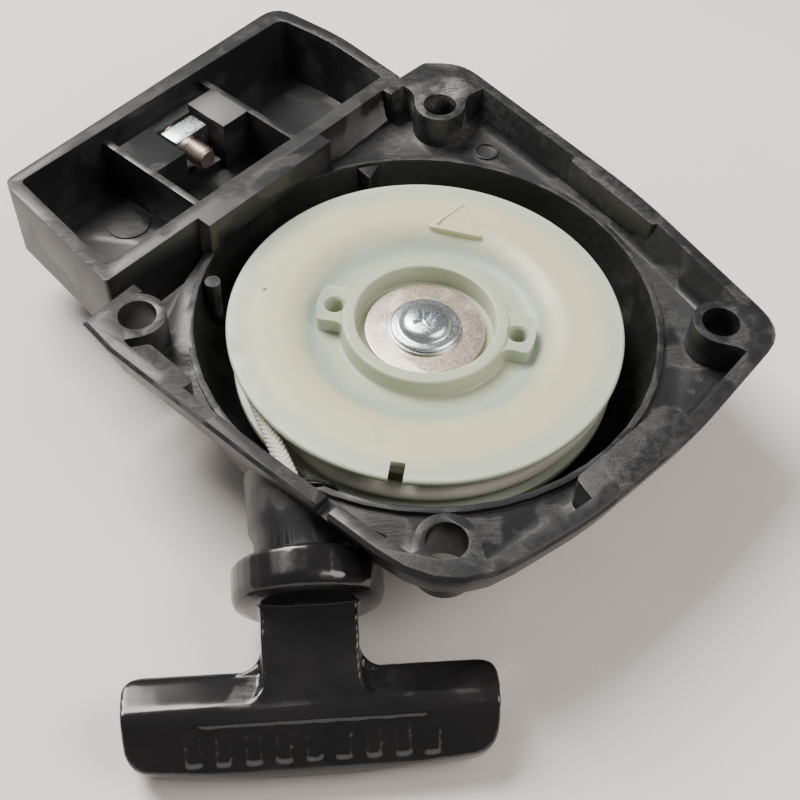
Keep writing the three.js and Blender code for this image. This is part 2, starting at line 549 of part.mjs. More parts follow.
// ---------------------------------------------------------------- duct cover screw and its captive nut
const nutBlank = solid(inDuct(block(
  NUT.u - NUT.width / 2, NUT.u + NUT.width / 2, NUT.v0, NUT.v1, NUT.low, NUT.low + NUT.width,
)));
addSolid('cover_nut', 'blueZinc', nutBlank.subtract(solid(alongDuctScrew(rod(3.05, 70, 90, 20)))));
addSolid('cover_screw', 'yellowZinc', solid(alongDuctScrew(turned([
  [0, 70.2], [2.2, 70.2], [2.8, 71], [2.8, 88.5], [5.9, 91.4], [5.9, 91.8], [0, 91.8],
], 24))).subtract(solid(inDuct(block(NUT.u - 0.6, NUT.u + 0.6, 90.4, 93, SCREW_Z - 5, SCREW_Z + 5)))));

export default starter;
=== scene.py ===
# %% [markdown]
# # A recoil starter, seen from its engine side
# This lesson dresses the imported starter: a black moulded case with a side air duct, a pale
# translucent rope reel, a braided rope and a glossy T handle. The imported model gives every
# place and size. Blender adds rounded edges, threads, strands and the finish of each surface.
# The cells go from the frame to the camera, the helpers, the pieces, and then the finishes.

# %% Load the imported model
import math
import bpy
from mathutils import Matrix, Vector


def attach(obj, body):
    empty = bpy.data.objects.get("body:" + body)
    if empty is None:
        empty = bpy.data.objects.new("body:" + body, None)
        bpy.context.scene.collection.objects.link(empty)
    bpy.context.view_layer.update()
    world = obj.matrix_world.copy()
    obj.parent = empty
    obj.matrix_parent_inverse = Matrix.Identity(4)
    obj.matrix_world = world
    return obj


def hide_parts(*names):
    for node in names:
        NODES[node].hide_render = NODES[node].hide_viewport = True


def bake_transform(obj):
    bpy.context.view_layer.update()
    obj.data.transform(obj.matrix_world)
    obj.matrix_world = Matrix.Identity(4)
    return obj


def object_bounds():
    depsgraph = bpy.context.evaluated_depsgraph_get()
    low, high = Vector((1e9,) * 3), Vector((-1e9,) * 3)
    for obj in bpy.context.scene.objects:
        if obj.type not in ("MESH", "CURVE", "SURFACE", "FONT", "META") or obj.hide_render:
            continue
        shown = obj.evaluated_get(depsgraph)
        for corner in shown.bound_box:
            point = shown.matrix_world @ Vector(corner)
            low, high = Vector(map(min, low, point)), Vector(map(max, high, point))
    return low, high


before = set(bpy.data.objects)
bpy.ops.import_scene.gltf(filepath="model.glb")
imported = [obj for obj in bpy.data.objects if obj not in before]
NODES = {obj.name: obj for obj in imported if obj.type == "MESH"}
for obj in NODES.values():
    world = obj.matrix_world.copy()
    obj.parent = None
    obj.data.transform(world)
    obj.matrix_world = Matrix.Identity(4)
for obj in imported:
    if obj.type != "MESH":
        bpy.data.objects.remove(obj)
case_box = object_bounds()
MM = 0.001
print("box of the packed model:", [tuple(round(c / MM, 1) for c in corner) for corner in case_box])

# %% [markdown]
# ## Camera, floor and light
# The camera stands over the handle's side and looks down at about fifty degrees. It is placed
# with a position, a point to look at and a small roll, which reads more easily than a matrix.
# A pale cloth-covered table is only a plane with a soft weave in its bump. The light is one
# large soft panel from the back left, a weaker one from the front right and a bright world,
# because black plastic shows almost nothing except what it reflects.

# %% Place the camera
EYE = Vector((-36.1, -166.7, 211.9)) * MM
AIM = Vector((-8.6, -21.2, 24.0)) * MM
ROLL = math.radians(3.09)

camera = bpy.data.objects.new("camera", bpy.data.cameras.new("camera"))
bpy.context.scene.collection.objects.link(camera)
look = (AIM - EYE).to_track_quat("-Z", "Y").to_matrix().to_4x4()
camera.matrix_world = Matrix.Translation(EYE) @ look @ Matrix.Rotation(ROLL, 4, "Z")
camera.data.lens = 54
camera.data.clip_start = 0.01
bpy.context.scene.camera = camera
print("camera stands", round((AIM - EYE).length / MM), "mm from its aim")


# %% Light the table
def soft_panel(name, place, aim, size, power, tint):
    light = bpy.data.lights.new(name, "AREA")
    light.shape, light.size, light.energy, light.color = "SQUARE", size, power, tint
    panel = bpy.data.objects.new(name, light)
    bpy.context.scene.collection.objects.link(panel)
    direction = Vector(aim) - Vector(place)
    panel.matrix_world = Matrix.Translation(place) @ direction.to_track_quat("-Z", "Y").to_matrix().to_4x4()
    return panel


soft_panel("window_light", (-0.35, 0.45, 0.75), (0, 0, 0), 0.5, 17.0, (1.0, 0.98, 0.95))
soft_panel("room_light", (0.5, -0.25, 0.6), (0, 0, 0), 0.45, 4.0, (1.0, 0.95, 0.9))
world = bpy.data.worlds.new("studio")
world.use_nodes = True
world.node_tree.nodes["Background"].inputs["Color"].default_value = (0.95, 0.93, 0.92, 1)
world.node_tree.nodes["Background"].inputs["Strength"].default_value = 0.25
bpy.context.scene.world = world

# %% [markdown]
# ## Helpers for modelling
# Every operator acts on what is selected, so each helper starts by clearing the selection.
# A turned piece is drawn as a bare outline: one point is pulled out again and again, and the
# line is spun round an axis. Its corners are rounded before the spin, so the finished piece
# has the small radii of a real moulding or a tumbled metal part.


# %% Selection, naming and placing
def deselect():
    if bpy.context.object and bpy.context.object.mode != "OBJECT":
        bpy.ops.object.mode_set(mode="OBJECT")
    bpy.ops.object.select_all(action="DESELECT")


def only(piece):
    deselect()
    piece.select_set(True)
    bpy.context.view_layer.objects.active = piece
    return piece


def named(name):
    piece = bpy.context.object
    piece.name = piece.data.name = name
    bpy.ops.object.transform_apply(location=True, rotation=True, scale=True)
    return piece


def lay(piece, matrix):
    """Moves a finished piece to its place and leaves its object at the origin."""
    only(piece)
    piece.matrix_world = matrix
    bpy.ops.object.transform_apply(location=True, rotation=True, scale=True)
    return piece


def clean(piece):
    """Merges doubled points and turns every face outwards."""
    only(piece)
    bpy.ops.object.mode_set(mode="EDIT")
    bpy.ops.mesh.select_all(action="SELECT")
    bpy.ops.mesh.remove_doubles(threshold=0.002 * MM)
    bpy.ops.mesh.normals_make_consistent(inside=False)
    bpy.ops.object.mode_set(mode="OBJECT")
    return piece


def smooth(piece, angle=32):
    only(piece)
    bpy.ops.object.shade_smooth_by_angle(angle=math.radians(angle))
    return piece


# %% Modifiers that are applied at once
def modify(piece, kind, **settings):
    only(piece)
    modifier = piece.modifiers.new(kind.title(), kind)
    for key, value in settings.items():
        setattr(modifier, key, value)
    bpy.ops.object.modifier_apply(modifier=modifier.name)
    return piece


def combine(piece, tool, operation):
    """Adds a tool shape to a piece, or cuts it away, and then removes the tool."""
    modify(piece, "BOOLEAN", object=tool, operation=operation, solver="EXACT")
    bpy.data.objects.remove(tool)
    return piece


def soften(piece, width, segments=2, angle=38):
    """Rounds the sharp edges by a small radius."""
    return modify(piece, "BEVEL", width=width * MM, segments=segments, limit_method="ANGLE",
                  angle_limit=math.radians(angle), harden_normals=False)


# %% Turned pieces
def round_corners(outline, closed, steps=4):
    """Replaces each [radius, height, fillet] corner of an outline by a small arc of points."""
    points = []
    count = len(outline)
    for i, (x, z, *fillet) in enumerate(outline):
        here = Vector((x, z))
        if not closed and i in (0, count - 1):
            points.append(here)
            continue
        before = Vector(outline[(i - 1) % count][:2]) - here
        after = Vector(outline[(i + 1) % count][:2]) - here
        cut = min(fillet[0] if fillet else 0.15, 0.48 * before.length, 0.48 * after.length)
        start, end = here + before.normalized() * cut, here + after.normalized() * cut
        for step in range(steps + 1):
            t = step / steps
            points.append(start * (1 - t) ** 2 + here * 2 * t * (1 - t) + end * t ** 2)
    return points + points[:1] if closed else points


def draw_line(name, points):
    """Pulls one point out along a list of places, which leaves a wire outline."""
    deselect()
    bpy.ops.mesh.primitive_plane_add(size=MM, location=points[0])
    line = named(name)
    bpy.ops.object.mode_set(mode="EDIT")
    bpy.ops.mesh.select_mode(type="VERT")
    bpy.ops.mesh.merge(type="CENTER")
    for before, after in zip(points, points[1:]):
        bpy.ops.mesh.extrude_region_move(TRANSFORM_OT_translate={"value": after - before})
    return line


def turned(name, outline, steps=128, closed=True):
    """Spins an outline of [radius, height, fillet] corners, in millimetres, round Z."""
    rounded = [Vector((p.x, 0, p.y)) * MM for p in round_corners(outline, closed)]
    piece = draw_line(name, rounded)
    bpy.ops.mesh.select_all(action="SELECT")
    bpy.ops.mesh.spin(steps=steps, angle=math.tau, center=(0, 0, 0), axis=(0, 0, 1))
    clean(piece)
    return smooth(piece)


def plate(name, corners, low, high):
    """Draws a flat outline of [x, y, fillet] corners, fills it and pulls it up to its thickness."""
    outline = [Vector((p.x, p.y, low)) * MM for p in round_corners(corners, True)]
    piece = draw_line(name, outline)
    bpy.ops.mesh.select_all(action="SELECT")
    bpy.ops.mesh.remove_doubles(threshold=0.002 * MM)
    bpy.ops.mesh.edge_face_add()
    bpy.ops.mesh.extrude_region_move(TRANSFORM_OT_translate={"value": (0, 0, (high - low) * MM)})
    return clean(piece)


# %% [markdown]
# ## Finishing a piece
# Each piece rides on a body of the imported model and stands for its CAD node, which is
# hidden. The finishes are made last, so a piece only notes which one it takes. One helper does
# all of this and prints the face count.

# %% Note what each piece stands for
WEARS = {}


def done(piece, body, finish, *stands_for):
    deselect()
    WEARS[piece.name] = finish
    if body:
        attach(piece, body)
    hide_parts(*stands_for)
    print(f"{piece.name}: {len(piece.data.polygons)} faces, stands for {', '.join(stands_for)}")
    return piece


def copy_of(node, name):
    """A separate copy of a CAD node, with its loose triangles joined up."""
    piece = NODES[node].copy()
    piece.data = NODES[node].data.copy()
    piece.name = piece.data.name = name
    piece.parent = None
    for key in list(piece.keys()):
        del piece[key]
    bpy.context.scene.collection.objects.link(piece)
    piece.matrix_world = Matrix.Identity(4)
    return clean(piece)


# %% [markdown]
# ## The case
# The case is one injection moulding: a dished front with air slots, a rim with four screw
# bosses, a pocket for the reel, the duct box and the nut bracket. The CAD node already has all
# of its walls, so a copy is taken and only its edges change. Flat neighbours are joined into
# single faces first, because a bevel needs clean edges, and then each sharp edge gets three
# tenths of a millimetre of radius. That radius catches the light as on the real part.

# %% Round the edges of the case
case = copy_of("starter_case", "case_moulding")
only(case)
bpy.ops.object.mode_set(mode="EDIT")
bpy.ops.mesh.select_all(action="SELECT")
bpy.ops.mesh.dissolve_limited(angle_limit=math.radians(0.6), use_dissolve_boundaries=False)
bpy.ops.object.mode_set(mode="OBJECT")
soften(case, 0.3, segments=2, angle=33)
smooth(case, 34)
done(case, "case", "black_nylon", "starter_case")

# %% [markdown]
# ## The rope reel
# The reel is moulded in pale unfilled nylon, so light passes into it. It is a spool: a lower
# flange, a groove for the rope and a wider upper flange. The upper flange dips towards the
# middle, where a drive ring with two ears stands up. The spool is spun from one outline. The
# ears are plates that flare outwards and grow into the ring, added with a boolean.

# %% Spin the spool
REEL_R = 42.0
REEL_TOP = 24.0
EAR_TURN = -18.9
reel = turned("reel_moulding", [
    [5.2, 6.6], [7.8, 6.6], [7.8, 12.2, 0.3], [26.5, 12.2], [26.5, 11.2], [REEL_R - 0.8, 11.2, 0.3],
    [REEL_R - 0.8, 13, 0.3], [30, 14.6, 1.2], [30, 22.3, 1.2], [REEL_R, 22.7, 0.35], [REEL_R, 23.6, 0.3],
    [REEL_R - 0.4, REEL_TOP, 0.3], [29.6, REEL_TOP, 3.0], [26.6, 22.6, 2.0], [24.2, 20.8, 2.0],
    [22.4, 20.2, 1.5], [18.25, 20.2, 0.7], [17.8, 24.2, 0.7], [15, 24.2, 0.5], [14.6, 19.4, 0.3], [5.2, 19.4],
], steps=160)


# %% Grow the two ears out of the ring, and add the moulded triangle
def ear(turn):
    """One flared ear with a thin raised border, turned to its place."""
    plan = [[15.6, -7.6, 1.0], [17.6, -4.7, 2.4], [22.4, -5.2, 1.3], [23.7, 0, 9],
            [22.4, 5.2, 1.3], [17.6, 4.7, 2.4], [15.6, 7.6, 1.0]]
    body = plate("ear", plan, 19.8, REEL_TOP - 0.05)
    only(body)
    bpy.ops.object.mode_set(mode="EDIT")
    bpy.ops.mesh.select_mode(type="FACE")
    bpy.ops.mesh.select_all(action="DESELECT")
    bpy.ops.object.mode_set(mode="OBJECT")
    for face in body.data.polygons:
        face.select = face.normal.z > 0.9
    bpy.ops.object.mode_set(mode="EDIT")
    bpy.ops.mesh.inset(thickness=0.9 * MM)
    bpy.ops.transform.translate(value=(0, 0, -0.3 * MM))
    soften(body, 0.22, segments=3, angle=30)
    return lay(body, Matrix.Rotation(math.radians(turn), 4, "Z"))


def pin(name, radius, low, high, centre=(0, 0), sides=64):
    deselect()
    bpy.ops.mesh.primitive_cylinder_add(vertices=sides, radius=radius * MM, depth=(high - low) * MM,
                                        location=(centre[0] * MM, centre[1] * MM, (low + high) / 2 * MM))
    return named(name)


def triangle(name, radius, fillet, low, high):
    angles = [math.radians(a) for a in (90, 210, 330)]
    corners = [(radius * math.cos(a), radius * math.sin(a), fillet) for a in angles]
    return plate(name, corners, low, high)


mark = soften(triangle("moulded_triangle", 7.4, 1.2, 22.3, REEL_TOP + 0.25), 0.15, angle=60)
combine(mark, triangle("inner_triangle", 5.6, 0.8, 20, 26), "DIFFERENCE")
lay(mark, Matrix.Translation((12.0 * MM, 28.2 * MM, 0)) @ Matrix.Rotation(math.radians(-23), 4, "Z"))
combine(reel, mark, "UNION")
for turn in (EAR_TURN, EAR_TURN + 180):
    combine(reel, ear(turn), "UNION")
core = pin("core", 14.7, 19.45, 30)
combine(reel, core, "DIFFERENCE")
for turn in (EAR_TURN, EAR_TURN + 180):
    hole = turned("ear_hole", [[0, 18], [1.9, 18], [1.9, 23.0], [2.5, 23.9], [2.5, 27], [0, 27]],
                  steps=48, closed=False)
    lay(hole, Matrix.Rotation(math.radians(turn), 4, "Z") @ Matrix.Translation((19.7 * MM, 0, 0)))
    combine(reel, hole, "DIFFERENCE")
print("reel with its ears:", len(reel.data.polygons), "faces")

# %% [markdown]
# The flange has one small square nick at its edge, to hold the rope while the spring is wound.
# The knot pocket and the rope's bore are on the spring side.

# %% Cut the nick and the knot pocket
NICK_TURN = -107.1
ROPE_LOW_Z, ROPE_HIGH_Z, ROPE_R = 16.9, 20.3, 1.8
ROPE_ROWS = [32.1, 35.75, 39.4]
PULL = Vector((-30.5, -36, 19.5))
PITCH = 12
GUIDE_S, SEAT_S, HANDLE_TURN = 3.4, 18.0, -3.5
SPOUT_JOINT, JOINT_GAP, ROPE_END_S = 13.0, 0.15, 39.3
KNOT_R = 24.4


def along_pull(distance):
    a = math.radians(PITCH)
    return PULL + Vector((0, -math.cos(a), -math.sin(a))) * distance


def along_handle(distance):
    """The handle's own centre line, turned a little about its seat on the spout."""
    from_seat = Matrix.Rotation(math.radians(HANDLE_TURN), 3, "Z") @ Vector((0, SEAT_S - distance, 0))
    return PULL + Matrix.Rotation(math.radians(PITCH), 3, "X") @ (from_seat + Vector((0, -SEAT_S, 0)))


entry = along_pull(GUIDE_S)
LEAVE = math.atan2(entry.y, entry.x) - math.acos(ROPE_ROWS[-1] / math.hypot(entry.x, entry.y))

nick = plate("nick", [[37.8, -1.5, 0.3], [45, -1.5, 0.3], [45, 1.5, 0.3], [37.8, 1.5, 0.3]], 20.5, 26)
combine(reel, lay(nick, Matrix.Rotation(math.radians(NICK_TURN), 4, "Z")), "DIFFERENCE")
pocket = pin("knot_pocket", 3.4, 10, 20, (KNOT_R * math.cos(LEAVE), KNOT_R * math.sin(LEAVE)))
combine(reel, pocket, "DIFFERENCE")
bore = pin("rope_bore", 2.2, KNOT_R, 31)
lay(bore, Matrix.Rotation(LEAVE, 4, "Z") @ Matrix.Translation((0, 0, ROPE_LOW_Z * MM))
    @ Matrix.Rotation(math.pi / 2, 4, "Y"))
combine(reel, bore, "DIFFERENCE")

clean(reel)
smooth(reel, 30)
done(reel, "reel", "reel_nylon", "reel")

# %% [markdown]
# ## Washers and the reel screw
# A wide yellow-zinc washer keeps the reel on its post. A blue-zinc screw with a thin collar
# and a cross recess holds it. They are turned outlines. The recess is cut by two crossed
# wedges and a small cone, as the real punch has four tapered wings.

# %% Turn the washers and the screw
washer = turned("wide_washer", [[3.2, 19.8], [12.9, 19.8, 0.2], [12.9, 20.7, 0.25], [3.2, 20.7]])
done(washer, "case", "yellow_zinc", "retaining_washer")
thin = turned("screw_washer_ring", [[3.2, 20.8], [7.9, 20.8], [7.9, 21.3, 0.2], [3.2, 21.3]])
done(thin, "case", "blue_zinc", "screw_washer")
thrust = turned("thrust_washer_ring", [[5.3, 5.5], [8.4, 5.5], [8.4, 6.3], [5.3, 6.3]], steps=64)
done(thrust, "case", "plain_steel", "thrust_washer")

screw = turned("reel_screw_head", [
    [0, 10], [2.3, 10], [2.6, 10.6], [2.6, 21.4], [7.4, 21.4, 0.1], [7.5, 21.75, 0.2],
    [7.0, 22.1, 0.3], [5.6, 22.2, 0.4], [5.2, 22.9, 0.5], [4.4, 23.6, 0.8], [2.6, 24.0, 1.0], [0, 24.1],
], closed=False)


# %% Punch the cross recess
def pick_points(piece, wanted):
    """Opens a piece for editing with only the wanted points selected."""
    only(piece)
    bpy.ops.object.mode_set(mode="EDIT")
    bpy.ops.mesh.select_mode(type="VERT")
    bpy.ops.mesh.select_all(action="DESELECT")
    bpy.ops.object.mode_set(mode="OBJECT")
    for vertex in piece.data.vertices:
        vertex.select = wanted(vertex.co)
    bpy.ops.object.mode_set(mode="EDIT")


def wing(turn):
    """A wedge that is wide and long at the top and narrow at the bottom."""
    deselect()
    bpy.ops.mesh.primitive_cube_add(size=1, location=(0, 0, 23.2 * MM), scale=(7.2 * MM, 1.35 * MM, 3.0 * MM))
    wedge = named("wing")
    pick_points(wedge, lambda place: place.z < 23 * MM)
    bpy.ops.transform.resize(value=(0.45, 0.6, 1), center_override=(0, 0, 0))
    soften(wedge, 0.12, segments=2, angle=30)
    return lay(wedge, Matrix.Rotation(math.radians(turn), 4, "Z"))


for turn in (20, 110):
    combine(screw, wing(turn), "DIFFERENCE")
deselect()
bpy.ops.mesh.primitive_cone_add(vertices=32, radius1=0.3 * MM, radius2=1.9 * MM, depth=2.6 * MM,
                                location=(0, 0, 23.1 * MM))
combine(screw, named("recess_cone"), "DIFFERENCE")
smooth(clean(screw), 28)
done(screw, "case", "blue_zinc", "reel_screw")

# %% [markdown]
# ## Post and return spring
# The post is a plain turned steel sleeve and the spring a flat strip wound in a spiral. Both
# sit under the reel and show only through the air slots. The post is spun from an outline and
# the spring is a copy with softened edges. The spring keeps its shape while the reel turns.

# %% Turn the post and copy the spring
post = turned("post_sleeve", [
    [0, 1.5], [4.3, 1.5], [4.3, 6], [5.1, 6], [5.1, 19.7, 0.3], [2.7, 19.7, 0.3], [2.7, 9], [0, 9],
], steps=64, closed=False)
done(post, "case", "plain_steel", "centre_post")
spring = copy_of("recoil_spring", "spiral_spring")
smooth(soften(spring, 0.08, segments=1, angle=50), 34)
done(spring, "case", "spring_steel", "recoil_spring")

# %% [markdown]
# ## The rope
# Starter rope is a braid of sixteen strands round a core, eight running each way and passing
# over and under. Where it shows, each strand is a thin flattened tube that winds round the
# rope's line while it rises and sinks. The weave repeats because a strand crosses another
# every half wave. The turns on the reel are hidden, so they are one plain tube with fibre lines
# in its finish. Both keep a UV map that runs along the fibre, for the finish to follow.

# %% The rope's line and its frames
TURNS = len(ROPE_ROWS)


def smoothstep(x, low, high):
    t = min(max((x - low) / (high - low), 0), 1)
    return t * t * (3 - 2 * t)


def wound_point(t):
    """Rope centre after t turns on the reel: up one row, down the next, off the outer one."""
    row = min(int(t), TURNS - 1)
    part = t - row
    inner = ROPE_ROWS[max(row - 1, 0)]
    radius = inner + (ROPE_ROWS[row] - inner) * smoothstep(part, 0, 0.12)
    low, high = (ROPE_LOW_Z, ROPE_HIGH_Z) if row % 2 == 0 else (ROPE_HIGH_Z, ROPE_LOW_Z)
    angle = LEAVE - (TURNS - t) * math.tau
    height = low + (high - low) * smoothstep(part, 0.12, 1)
    return Vector((radius * math.cos(angle), radius * math.sin(angle), height))


def fair_line(controls, step):
    """Points a given step apart on a smooth curve through the control points."""
    ends = [controls[0] * 2 - controls[1], *controls, controls[-1] * 2 - controls[-2]]
    dense = []
    for a, b, c, d in zip(ends, ends[1:], ends[2:], ends[3:]):
        for i in range(40):
            t = i / 40
            bend = (2 * a - 5 * b + 4 * c - d) * t ** 2
            twist = (3 * b - a - 3 * c + d) * t ** 3
            dense.append(0.5 * (2 * b + (c - a) * t + bend + twist))
    dense.append(controls[-1])
    total = sum((q - p).length for p, q in zip(dense, dense[1:]))
    count = max(2, round(total / step))
    points, walked, target = [dense[0]], 0.0, total / count
    for p, q in zip(dense, dense[1:]):
        length = (q - p).length
        while walked + length >= target - 1e-9 and len(points) < count:
            points.append(p.lerp(q, (target - walked) / length))
            target += total / count
        walked += length
    return points + [dense[-1]]


def frames_on(points):
    """A tangent and two side directions at each point, carried along without twist."""
    side = (points[1] - points[0]).orthogonal().normalized()
    result = []
    for i in range(len(points)):
        tangent = (points[min(i + 1, len(points) - 1)] - points[max(i - 1, 0)]).normalized()
        side = (side - tangent * side.dot(tangent)).normalized()
        result.append((tangent, side, tangent.cross(side)))
    return result


# %% Sweep tubes along a line
def swept(name, lines, half_width, half_height, sides):
    """Tubes along lists of (place, outward direction), with closed ends and a UV map in metres."""
    places, faces, marks = [], [], []
    for line in lines:
        first, walked = len(places), 0.0
        for i, (place, out) in enumerate(line):
            ahead = (line[min(i + 1, len(line) - 1)][0] - line[max(i - 1, 0)][0]).normalized()
            across = ahead.cross(out).normalized()
            if i:
                walked += (place - line[i - 1][0]).length
            for k in range(sides):
                a = math.tau * k / sides
                offset = across * half_width * math.cos(a) + out * half_height * math.sin(a)
                places.append((place + offset) * MM)
            if i:
                for k in range(sides):
                    p, q = first + (i - 1) * sides + k, first + (i - 1) * sides + (k + 1) % sides
                    faces.append((p, q, q + sides, p + sides))
                    marks.append((walked, k))
        last = len(places) - sides
        faces += [tuple(range(first + sides - 1, first - 1, -1)), tuple(range(last, last + sides))]
        marks += [None, None]
    mesh = bpy.data.meshes.new(name)
    mesh.from_pydata(places, [], faces)
    uv = mesh.uv_layers.new(name="along_fibre")
    around = 4 * (half_width + half_height) / sides
    for face, mark in zip(mesh.polygons, marks):
        if mark:
            u, k = mark
            step = 0.3
            for loop, (du, dk) in zip(face.loop_indices, ((-step, 0), (-step, 1), (0, 1), (0, 0))):
                uv.data[loop].uv = ((u + du) * MM, (k + dk) * around * MM)
    piece = bpy.data.objects.new(name, mesh)
    bpy.context.scene.collection.objects.link(piece)
    return smooth(clean(piece), 60)


def braided(name, controls, step=0.19, pitch=9.0, strands=8):
    """A braid round a core along a fair line, as thick as the rope."""
    points = fair_line(controls, step)
    sides = frames_on(points)
    turn_rate = math.tau / pitch * (points[1] - points[0]).length
    middle, wave, half_height = 1.33, 0.15, 0.31
    core_line = [(p, f[1]) for p, f in zip(points, sides)][::4] + [(points[-1], sides[-1][1])]
    lines = []
    for way in (1, -1):
        for n in range(strands):
            line = []
            for i, (p, (tangent, side, other)) in enumerate(zip(points, sides)):
                angle = math.tau * n / strands + way * turn_rate * i
                out = side * math.cos(angle) + other * math.sin(angle)
                line.append((p + out * (middle + way * wave * math.cos(strands * turn_rate * i)), out))
            lines.append(line)
    rope = swept(name, lines, 0.55, half_height, 6)
    core_piece = swept(name + "_core", [core_line], 1.22, 1.22, 12)
    only(rope)
    core_piece.select_set(True)
    bpy.ops.object.join()
    return rope


# %% Lay the rope: the free run, the part in the handle and the turns on the reel
leaving = wound_point(TURNS)
to_guide = (entry - leaving).normalized()
run = braided("rope_run_braid", [leaving + to_guide * 0.4, leaving + to_guide * 10, leaving + to_guide * 20,
                                 entry, along_pull((GUIDE_S + SPOUT_JOINT) / 2),
                                 along_pull(SPOUT_JOINT - JOINT_GAP)])
done(run, "case", "rope_fibre", "rope_run")

pulled = braided("rope_outer_braid", [along_pull(SPOUT_JOINT + JOINT_GAP), along_pull(SEAT_S - 1),
                                      along_handle(SEAT_S + 6), along_handle(ROPE_END_S)], step=0.25)
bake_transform(pulled)
done(pulled, None, "rope_fibre", "rope_outer")

steps_round = 72
turns_line = [wound_point(i / steps_round) for i in range(TURNS * steps_round + 1)]
tube_r = ROPE_R - 0.03
wound = swept("rope_wound_turns", [[(p, Vector((0, 0, 1))) for p in turns_line]], tube_r, tube_r, 12)
done(wound, "reel", "rope_fibre", "rope_wound")

# %% [markdown]
# ## Guide, nut and cover screw
# The rope enters the spout through a glossy lipped sleeve. In the duct a square nut sits in
# its bracket, and the screw that holds the duct cover runs through it. The thread is drawn in
# the outline as a row of small peaks. A spun thread has rings instead of one long spiral, but
# at this size nobody can tell, and the mesh stays closed.

# %% Turn the guide and lay it on the pull line
ON_PULL = Matrix.Translation(PULL * MM) @ Matrix.Rotation(math.radians(90 + PITCH), 4, "X")
guide = turned("guide_sleeve", [
    [2.6, -0.4, 0.5], [3.3, -1.6, 0.6], [4.6, -2.3, 0.8], [6.6, -2.3, 0.8], [7.9, -1.2, 0.5],
    [7.9, -0.4, 0.2], [6.1, 0, 0.1], [6.1, 8.2, 0.2], [2.6, 8.2, 0.3],
], steps=96)
lay(guide, ON_PULL @ Matrix.Translation((0, 0, GUIDE_S * MM)))
done(guide, "case", "gloss_black", "rope_guide")

# %% Make the nut and the threaded screw
DUCT_TURN, NUT_U, NUT_V0, NUT_V1, NUT_WIDTH, NUT_LOW = 41, 4.0, 75.2, 80.6, 10.0, 18.6
SCREW_Z = NUT_LOW + NUT_WIDTH / 2
IN_DUCT = Matrix.Rotation(math.radians(DUCT_TURN), 4, "Z")
ON_DUCT_SCREW = (IN_DUCT @ Matrix.Translation((NUT_U * MM, 0, SCREW_Z * MM))
                 @ Matrix.Rotation(-math.pi / 2, 4, "X"))

deselect()
bpy.ops.mesh.primitive_cube_add(size=1, location=(0, 0, (NUT_V0 + NUT_V1) / 2 * MM),
                                scale=(NUT_WIDTH * MM, NUT_WIDTH * MM, (NUT_V1 - NUT_V0) * MM))
nut = named("square_nut")
soften(nut, 0.5, segments=3, angle=30)
nut_bore = turned("nut_bore", [[0, 70], [3.9, 70], [3.9, NUT_V0], [3.05, NUT_V0 + 0.8], [3.05, NUT_V1 - 0.8],
                               [3.9, NUT_V1], [3.9, 90], [0, 90]], steps=48, closed=False)
smooth(clean(combine(nut, nut_bore, "DIFFERENCE")), 30)
done(lay(nut, ON_DUCT_SCREW), "case", "blue_zinc", "cover_nut")

THREAD_PITCH, THREAD_START, THREAD_END = 0.8, 71.0, 88.0
peaks = int((THREAD_END - THREAD_START) / THREAD_PITCH)
thread = [[0, 70.2], [2.2, 70.2, 0.1]]
for i in range(peaks):
    valley = THREAD_START + i * THREAD_PITCH
    peak = THREAD_START + (i + 0.5) * THREAD_PITCH
    thread += [[2.45, valley, 0.05], [2.8, peak, 0.06]]
thread += [[2.8, 88.5], [5.85, 91.4, 0.1], [5.85, 91.8, 0.2], [0, 91.8]]
cover_screw = turned("cover_screw_thread", thread, steps=48, closed=False)
deselect()
bpy.ops.mesh.primitive_cube_add(size=1, location=(0, 0, 91.9 * MM), scale=(1.2 * MM, 14 * MM, 2.6 * MM))
slot_tool = named("driver_slot")
smooth(clean(combine(cover_screw, slot_tool, "DIFFERENCE")), 30)
done(lay(cover_screw, ON_DUCT_SCREW), "case", "yellow_zinc", "cover_screw")

# %% [markdown]
# ## The handle
# The T handle is a glossy moulding with soft corners everywhere: a collar that caps the spout,
# a flat stem that flares into the bar, and a bar with a ridge and a sloping grip face. The CAD
# copy has the right shape but hard edges. Remeshing it into small even faces and relaxing them
# a little melts the corners together, as a polished mould leaves them.

# %% Melt the handle's edges
handle = copy_of("handle", "pull_handle")
modify(handle, "REMESH", mode="VOXEL", voxel_size=0.36 * MM, use_smooth_shade=True)
modify(handle, "SMOOTH", factor=0.5, iterations=7)
only(handle)
bpy.ops.object.shade_smooth()
done(handle, "handle", "gloss_black", "handle")

cap = copy_of("handle_cap", "handle_pocket_cap")
smooth(soften(cap, 0.3, segments=3, angle=40), 30)
done(cap, "handle", "gloss_black", "handle_cap")

# %% [markdown]
# ## Knots
# Two overhand knots stop the rope, one in the reel and one in the handle. They are hidden, and
# a knot pulled tight is a lumpy ball, so a remeshed and relaxed copy of each CAD knot is enough.

# %% Round the knots
KNOTS = (("rope_reel_knot", "reel_knot", "reel"), ("rope_handle_knot", "handle_knot", "handle"))
for node, name, body in KNOTS:
    knot = copy_of(node, name)
    modify(knot, "REMESH", mode="VOXEL", voxel_size=0.3 * MM, use_smooth_shade=True)
    modify(knot, "SMOOTH", factor=0.5, iterations=4)
    done(knot, body, "rope_fibre", node)

# %% [markdown]
# ## Tools for the finishes
# A finish is a small network of nodes. It reads the piece's own coordinates in metres, so a
# noise scale of 1000 gives features one millimetre wide. A short helper class adds a node and
# wires it in one line. Grain comes from fine noise, scratches from noise that is stretched a
# long way in one direction and cut to a narrow band, and stains from broad noise.


